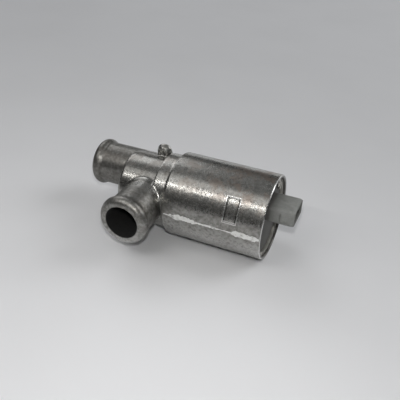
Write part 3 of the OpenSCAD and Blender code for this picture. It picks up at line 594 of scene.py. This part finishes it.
def spread(values, pairs):
    """The mean of values over each vertex's neighbours."""
    total = np.zeros_like(values)
    count = np.zeros(len(values))
    for a, b in ((0, 1), (1, 0)):
        np.add.at(total, pairs[:, a], values[pairs[:, b]])
        np.add.at(count, pairs[:, a], 1)
    count = np.maximum(count, 1)
    return total / (count[:, None] if values.ndim > 1 else count)


def concave(mesh, voxel):
    """1 where tubes and chamber meet in a corner, 0 elsewhere, spread over a few millimetres."""
    places, normals, pairs = neighbours(mesh)
    bend = ((spread(places, pairs) - places) * normals).sum(1) / voxel
    for _ in range(3):
        bend = spread(bend, pairs)
    weight = (bend > ROOT_BEND).astype(float)
    # the turned step between chamber and collar stays crisp
    off_tube = np.abs(np.hypot(places[:, 1] - LINE_Y, places[:, 2]) - NECK_R) > CRISP_CLEAR
    step = (np.abs(places[:, 0] - SEAM) < CRISP_REACH) & (places[:, 1] > CRISP_FROM_Y) & off_tube
    weight[step] = 0
    for _ in range(5):
        weight = np.maximum(weight, spread(weight, pairs) * 1.35).clip(0, 1)
    return weight


def round_normals(obj, radius, depth):
    """Gives the faces of a cylinder on the main axis, and those sunk up to depth, round normals."""
    mesh = obj.data
    normals = [tuple(corner.vector) for corner in mesh.corner_normals]
    for face in mesh.polygons:
        middle = Vector((0, face.center.y, face.center.z))
        near = middle.length > radius - depth - ROUND_SLACK
        if near and face.normal.dot(middle.normalized()) > ROUND_COSINE:
            for index in face.loop_indices:
                place = mesh.vertices[mesh.loops[index].vertex_index].co
                normals[index] = tuple(Vector((0, place.y, place.z)).normalized())
    mesh.normals_split_custom_set(normals)


def apply_all(obj):
    alone(obj)
    for modifier in list(obj.modifiers):
        bpy.ops.object.modifier_apply(modifier=modifier.name)


def rounded(obj, voxel, passes=()):
    """Gives obj an even skin of voxel metres, unless that is 0, and smooths it by (factor, times, group)."""
    if voxel:
        modifier = obj.modifiers.new("skin", "REMESH")
        modifier.mode = "VOXEL"
        modifier.voxel_size = voxel
    for factor, times, group in passes:
        modifier = obj.modifiers.new("smooth", "SMOOTH")
        modifier.factor = factor
        modifier.iterations = times
        modifier.vertex_group = group
    apply_all(obj)


def draw_in(obj, centre, half, wall, reach, depth):
    """Draws the outside of a hood of this centre and half size along Y and Z in towards its rim."""
    places, _, _ = neighbours(obj.data)
    near_rim = ((places[:, 0] - places[:, 0].max()) / reach + 1).clip(0, 1)
    for axis in (0, 1):
        across = places[:, axis + 1] - centre[axis]
        outside = (1 - (half[axis] - np.abs(across)) / wall).clip(0, 1)
        places[:, axis + 1] -= np.sign(across) * outside * depth * near_rim ** 2.5
    obj.data.vertices.foreach_set("co", places.ravel())
    obj.data.update()


def smooth(obj, degrees):
    alone(obj)
    bpy.ops.object.shade_smooth_by_angle(angle=math.radians(degrees))


def dress(obj, material, body=BODY):
    obj.data.materials.clear()
    obj.data.materials.append(material)
    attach(obj, body)


def ragged_line(name, start, end, radius, seed, patches=(), step=0.5 * MM):
    """A thin ragged ridge along X that the die left, wider within patches of (from, to, factor)."""
    rng = random.Random(seed)
    curve = bpy.data.curves.new(name, "CURVE")
    curve.dimensions = "3D"
    curve.bevel_depth = 1.0
    curve.bevel_resolution = 1
    curve.use_fill_caps = True
    start, end = Vector(start), Vector(end)
    count = round((end - start).length / step)
    spline = curve.splines.new("POLY")
    spline.points.add(count)
    level = swell = 0.0
    for i, point in enumerate(spline.points):
        place = start.lerp(end, i / count)
        wide = 1.0
        for low, high, factor in patches:
            reach = max(0.0, min(1.0, (place.x - low) / PATCH_TAPER, (high - place.x) / PATCH_TAPER))
            wide += (factor - 1.0) * reach
        level = 0.8 * level + rng.uniform(-1, 1) * 0.45
        swell = 0.6 * swell + rng.uniform(-1, 1) * 0.45
        point.co = (place.x, place.y, place.z + level * radius * 0.6 * wide ** 0.5, 1.0)
        point.radius = radius * wide * max(0.35, 1.0 + 0.6 * swell)
    obj = bpy.data.objects.new(name, curve)
    bpy.context.scene.collection.objects.link(obj)
    alone(obj)
    bpy.ops.object.convert(target="MESH")
    obj = bpy.context.view_layer.objects.active
    # flat across the casting's surface
    for vertex in obj.data.vertices:
        vertex.co.y = start.y + (vertex.co.y - start.y) * FLASH_FLAT
    return obj


def join(objects, name):
    alone(objects[0])
    for obj in objects[1:]:
        obj.select_set(True)
    bpy.ops.object.join()
    objects[0].name = name
    return objects[0]


# Stage helpers

def lay_floor(colour):
    """A pale floor under the valve's lowest point."""
    bpy.ops.object.select_all(action="DESELECT")
    bpy.ops.mesh.primitive_plane_add(size=FLOOR_SIZE, location=(0, 0, cad_box[0][2]))
    floor = bpy.context.object
    floor.name = "floor"
    bpy.ops.object.transform_apply(location=True)
    net = Net("floor")
    cloud = net.noise(FLOOR_CLOUD, 3.0, 0.5)
    look = net.mix(cloud.step(0.35, 0.7, 0.0, 0.5), colour, tuple(c * 0.96 for c in colour))
    floor.data.materials.append(net.finish(look, 0.55, 0.0, Specular_IOR_Level=0.25))


def set_camera(scene):
    """The camera, at the place and with the turn worked out for the photograph's view."""
    data = bpy.data.cameras.new("camera")
    data.lens = LENS
    data.sensor_width = 36.0
    data.clip_start = 0.01
    camera = bpy.data.objects.new("camera", data)
    scene.collection.objects.link(camera)
    turn = Matrix((RIGHT, UP, -LOOK)).transposed().to_4x4()
    camera.matrix_world = Matrix.Translation(EYE) @ turn
    scene.camera = camera


def add_lamp(scene, name, place, aim, width, depth, power, colour):
    """A rectangular lamp at place that faces aim, its width as near along X as it can be."""
    lamp = bpy.data.lights.new(name, "AREA")
    lamp.shape = "RECTANGLE"
    lamp.size = width
    lamp.size_y = depth
    lamp.energy = power
    lamp.color = colour
    obj = bpy.data.objects.new(name, lamp)
    scene.collection.objects.link(obj)
    back = (place - aim).normalized()
    side = Vector((1, 0, 0))
    side = (side - back * side.dot(back)).normalized()
    turn = Matrix((side, back.cross(side), back)).transposed().to_4x4()
    obj.matrix_world = Matrix.Translation(place) @ turn


# Operators

class VALVE_OT_finishes(bpy.types.Operator):
    """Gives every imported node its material"""
    bl_idname = "valve.finishes"
    bl_label = "Finishes of the packed nodes"

    def execute(self, context):
        colours = context.scene.valve_colours
        made = {slot: maker(f"{slot}_look", *values) for slot, (maker, values) in FINISHES.items()}
        made["cast_aluminium"] = cast_metal("cast_aluminium_look", colours)
        made["grey_plastic"] = plug_plastic("grey_plastic_look", colours)
        slots = {part["node"]: part["material_slot"] for part in frame["record"]["subparts"]}
        for node, obj in nodes.items():
            obj.data.materials.clear()
            obj.data.materials.append(made[slots[node]])
        return {"FINISHED"}


class VALVE_OT_casting(bpy.types.Operator):
    """Builds the casting with rounded roots where its tubes meet"""
    bl_idname = "valve.casting"
    bl_label = "Casting"

    def execute(self, context):
        sizes = context.scene.valve_sizes
        skin = copy_of("valve_housing", "casting_skin")
        rounded(skin, sizes.skin)
        weight = concave(skin.data, sizes.skin)
        group = skin.vertex_groups.new(name="roots")
        for index in np.flatnonzero(weight > 0.01):
            group.add([int(index)], float(weight[index]), "REPLACE")
        rounded(skin, 0, ((0.5, sizes.root_passes, "roots"), (0.4, 2, "")))
        cut_at(skin, sizes.seam_x, keep_left=True)
        can = copy_of("valve_housing", "casting_can")
        cut_at(can, sizes.seam_x, keep_left=False)
        smooth(skin, 50)
        smooth(can, 32)
        round_normals(can, CAN_R, PANEL_DEPTH)
        casting = join([skin, can], "casting")
        casting.vertex_groups.clear()
        dress(casting, bpy.data.materials["cast_aluminium_look"])
        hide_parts("valve_housing")
        return {"FINISHED"}


class VALVE_OT_hood(bpy.types.Operator):
    """Rounds the rim of the plug hood"""
    bl_idname = "valve.hood"
    bl_label = "Plug hood"

    def execute(self, context):
        mouth = copy_of("end_cap", "hood_mouth")
        cut_at(mouth, HOOD_CUT - 1.0 * MM, keep_left=False)
        rounded(mouth, context.scene.valve_sizes.hood_skin, ((0.5, 7, ""),))
        cut_at(mouth, HOOD_CUT, keep_left=False)
        draw_in(mouth, HOOD_CENTRE, HOOD_HALF, HOOD_WALL, RIM_REACH, RIM_DEPTH)
        foot = copy_of("end_cap", "hood_foot")
        cut_at(foot, HOOD_CUT, keep_left=True)
        smooth(mouth, 60)
        smooth(foot, 30)
        cap = join([foot, mouth], "cap_with_hood")
        dress(cap, bpy.data.materials["grey_plastic_look"])
        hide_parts("end_cap")
        return {"FINISHED"}


class VALVE_OT_flash(bpy.types.Operator):
    """Lays the ragged parting line along the casting"""
    bl_idname = "valve.flash"
    bl_label = "Parting line"

    def execute(self, context):
        radius = context.scene.valve_sizes.flash
        lines = []
        for seed, (start, end, patches) in enumerate(RIDGES, FIRST_SEED):
            patches = [(low * MM, high * MM, factor) for low, high, factor in patches]
            lines.append(ragged_line("flash", Vector(start) * MM, Vector(end) * MM, radius, seed, patches))
        line = join(lines, "parting_line")
        smooth(line, 40)
        dress(line, bare_metal("flash_metal"))
        return {"FINISHED"}


class VALVE_OT_stage(bpy.types.Operator):
    """Adds the floor, the lights and the camera"""
    bl_idname = "valve.stage"
    bl_label = "Stage"

    def execute(self, context):
        scene = context.scene
        lay_floor(tuple(scene.valve_colours.floor))
        world = bpy.data.worlds.new("room")
        world.use_nodes = True
        background = world.node_tree.nodes["Background"]
        background.inputs["Color"].default_value = ROOM_COLOUR
        background.inputs["Strength"].default_value = ROOM_LIGHT
        scene.world = world
        set_camera(scene)
        for lamp in LAMPS:
            add_lamp(scene, *lamp)
        scene.view_settings.view_transform = "Standard"
        return {"FINISHED"}


class VALVE_PT_panel(bpy.types.Panel):
    """Lists the valve's operators, sizes and colours"""
    bl_idname = "VALVE_PT_panel"
    bl_label = "Idle air valve"
    bl_space_type = "VIEW_3D"
    bl_region_type = "UI"
    bl_category = "Valve"

    def draw(self, context):
        for step in STEPS:
            self.layout.operator(step.bl_idname)
        for group in (context.scene.valve_sizes, context.scene.valve_colours):
            for name in type(group).__annotations__:
                self.layout.prop(group, name)


STEPS = (VALVE_OT_finishes, VALVE_OT_casting, VALVE_OT_hood, VALVE_OT_flash, VALVE_OT_stage)
CLASSES = (ValveSizes, ValveColours, *STEPS, VALVE_PT_panel)


def register():
    for cls in CLASSES:
        bpy.utils.register_class(cls)
    bpy.types.Scene.valve_sizes = PointerProperty(type=ValveSizes)
    bpy.types.Scene.valve_colours = PointerProperty(type=ValveColours)


def unregister():
    del bpy.types.Scene.valve_sizes, bpy.types.Scene.valve_colours
    for cls in reversed(CLASSES):
        bpy.utils.unregister_class(cls)


def main():
    register()
    bpy.ops.valve.finishes()
    bpy.ops.valve.casting()
    bpy.ops.valve.hood()
    bpy.ops.valve.flash()
    bpy.ops.valve.stage()


if __name__ == "__main__":
    main()
